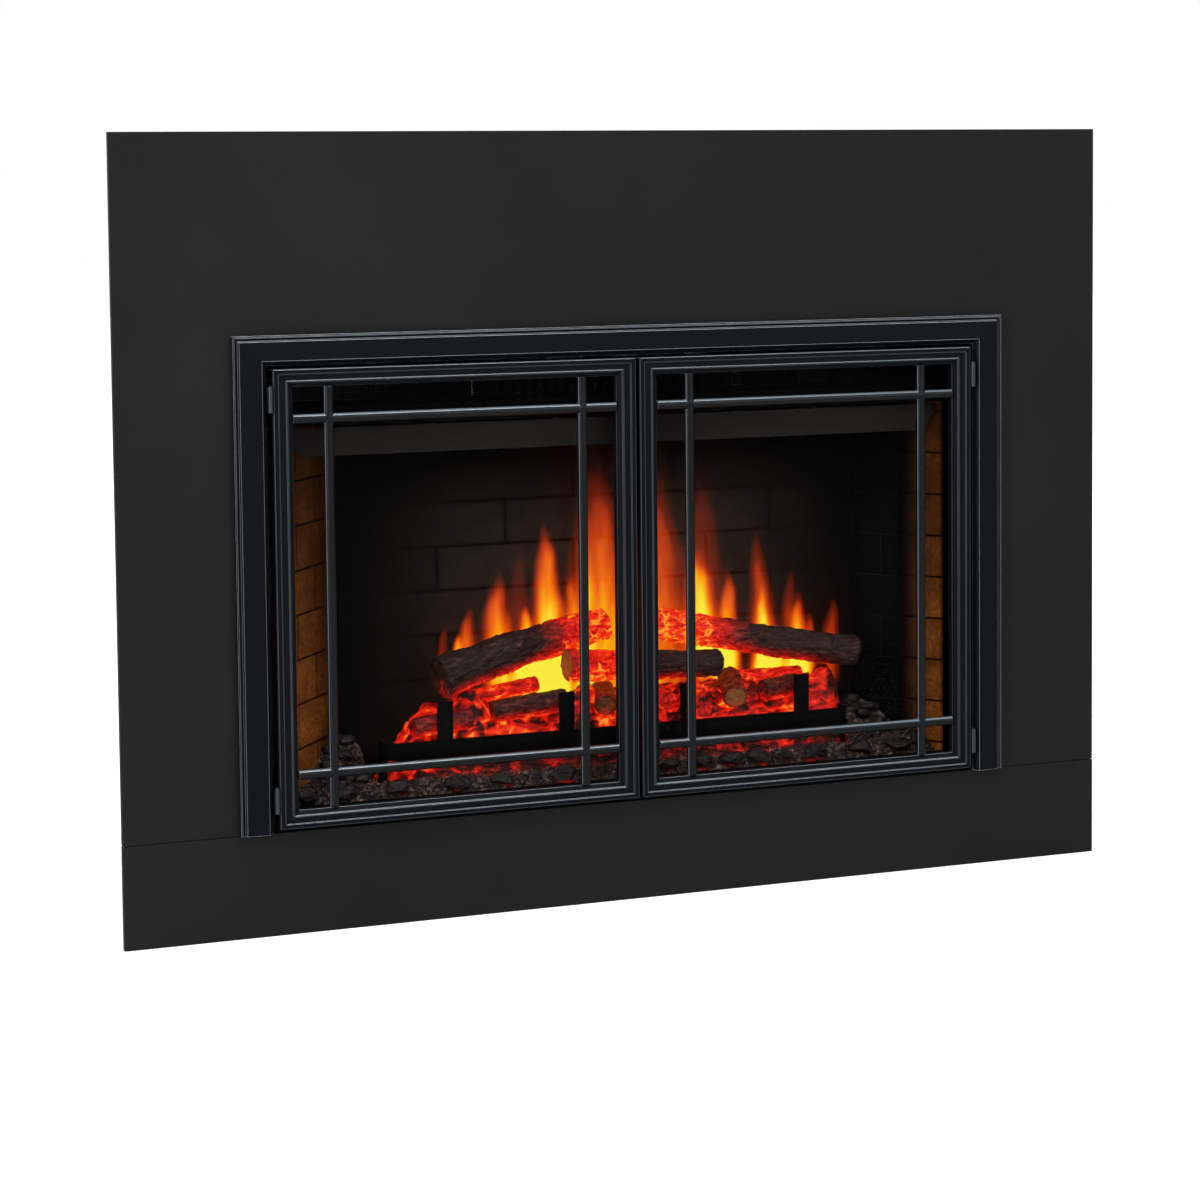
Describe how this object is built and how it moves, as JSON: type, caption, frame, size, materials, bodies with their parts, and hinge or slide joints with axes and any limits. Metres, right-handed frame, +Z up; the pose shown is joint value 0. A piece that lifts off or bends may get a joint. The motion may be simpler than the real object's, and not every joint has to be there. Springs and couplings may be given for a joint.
{
  "type": "fireplace insert",
  "caption": "Electric fireplace insert: black steel surround, mitred trim, swinging grille doors, fixed glass, glowing log set, flame screen and a fan heater in a sheet steel chassis.",
  "frame": {"origin": "middle of the box round the whole insert, on the floor it stands on", "axes": "+Z up, the doors and surround face -Y, +X to the right as seen from the front"},
  "size_m": [1.098, 0.25, 0.81],
  "materials": {
    "surround_black": "matte black powder coat",
    "door_black": "satin black powder coat with a cool cast",
    "chassis_black": "flat black",
    "hinge_steel": "bare steel",
    "zinc_sheet": "zinc coated sheet",
    "clear_glass": "clear, polished",
    "brick_board": "moulded fibre board, amber under the flame light",
    "screen_sheet": "smoked sheet that shows the flames",
    "ember_resin": "translucent moulding, lit from below",
    "ash_resin": "rough moulding",
    "bark_resin": "painted rough moulding",
    "bright_foil": "bright",
    "element_aluminium": "plain",
    "circuit_board": "solder resist",
    "black_plastic": "fine grain",
    "red_plastic": "smooth"
  },
  "bodies": {
    "insert": {"surround_upper_panel": "surround_black", "surround_riser_panel": "surround_black", "trim_left_rail": "door_black", "trim_right_rail": "door_black", "trim_top_rail": "door_black", "left_lower_hinge_frame_leaf": "hinge_steel", "left_upper_hinge_frame_leaf": "hinge_steel", "right_lower_hinge_frame_leaf": "hinge_steel", "right_upper_hinge_frame_leaf": "hinge_steel", "door_magnet_catch": "black_plastic", "front_glass": "clear_glass", "glass_frame": "chassis_black", "base_pan": "chassis_black", "chassis_left_side": "chassis_black", "chassis_right_side": "chassis_black", "top_cover": "chassis_black", "rear_cover": "zinc_sheet", "left_skid": "chassis_black", "right_skid": "chassis_black", "firebox_floor": "chassis_black", "left_brick_panel": "brick_board", "right_brick_panel": "brick_board", "valance": "chassis_black", "firebox_ceiling": "chassis_black", "flame_screen": "screen_sheet", "screen_frame": "chassis_black", "outlet_mesh": "chassis_black", "ember_bed": "ember_resin", "ash_bed": "ash_resin", "log_grate": "surround_black", "log_left": "bark_resin", "log_centre": "bark_resin", "log_right": "bark_resin", "flicker_motor": "zinc_sheet", "flicker_bearing": "zinc_sheet", "flame_lamp_strip": "circuit_board", "ember_lamp_board": "circuit_board", "heater_housing": "zinc_sheet", "blower_motor": "hinge_steel", "heater_element": "element_aluminium", "control_board": "circuit_board", "rocker_bezel": "black_plastic", "cord_gland": "black_plastic"},
    "left_door": {"left_door_hinge_stile": "door_black", "left_door_meeting_stile": "door_black", "left_door_top_rail": "door_black", "left_door_bottom_rail": "door_black", "left_door_grille": "door_black", "left_lower_hinge_door_leaf": "hinge_steel", "left_upper_hinge_door_leaf": "hinge_steel"},
    "right_door": {"right_door_hinge_stile": "door_black", "right_door_meeting_stile": "door_black", "right_door_top_rail": "door_black", "right_door_bottom_rail": "door_black", "right_door_grille": "door_black", "right_lower_hinge_door_leaf": "hinge_steel", "right_upper_hinge_door_leaf": "hinge_steel"},
    "flicker": {"flicker_rod": "bright_foil"},
    "blower": {"blower_wheel": "zinc_sheet"},
    "rocker": {"power_rocker": "red_plastic"}
  },
  "joints": [
    {"name": "left_door_swing", "type": "hinge", "parent": "insert", "child": "left_door", "pos_m": [-0.39365, -0.1225, 0.3415], "axis": [0, 0, 1], "range_deg": [-110, 0]},
    {"name": "right_door_swing", "type": "hinge", "parent": "insert", "child": "right_door", "pos_m": [0.39365, -0.1225, 0.3415], "axis": [0, 0, 1], "range_deg": [0, 110]},
    {"name": "flicker_spin", "type": "hinge", "parent": "insert", "child": "flicker", "pos_m": [0, 0.047, 0.152], "axis": [1, 0, 0], "continuous": true},
    {"name": "blower_spin", "type": "hinge", "parent": "insert", "child": "blower", "pos_m": [0, 0.017, 0.574], "axis": [1, 0, 0], "continuous": true},
    {"name": "power_rocker_tilt", "type": "hinge", "parent": "insert", "child": "rocker", "pos_m": [0.33, 0.11628, 0.168], "axis": [1, 0, 0], "range_deg": [0, 14]}
  ]
}
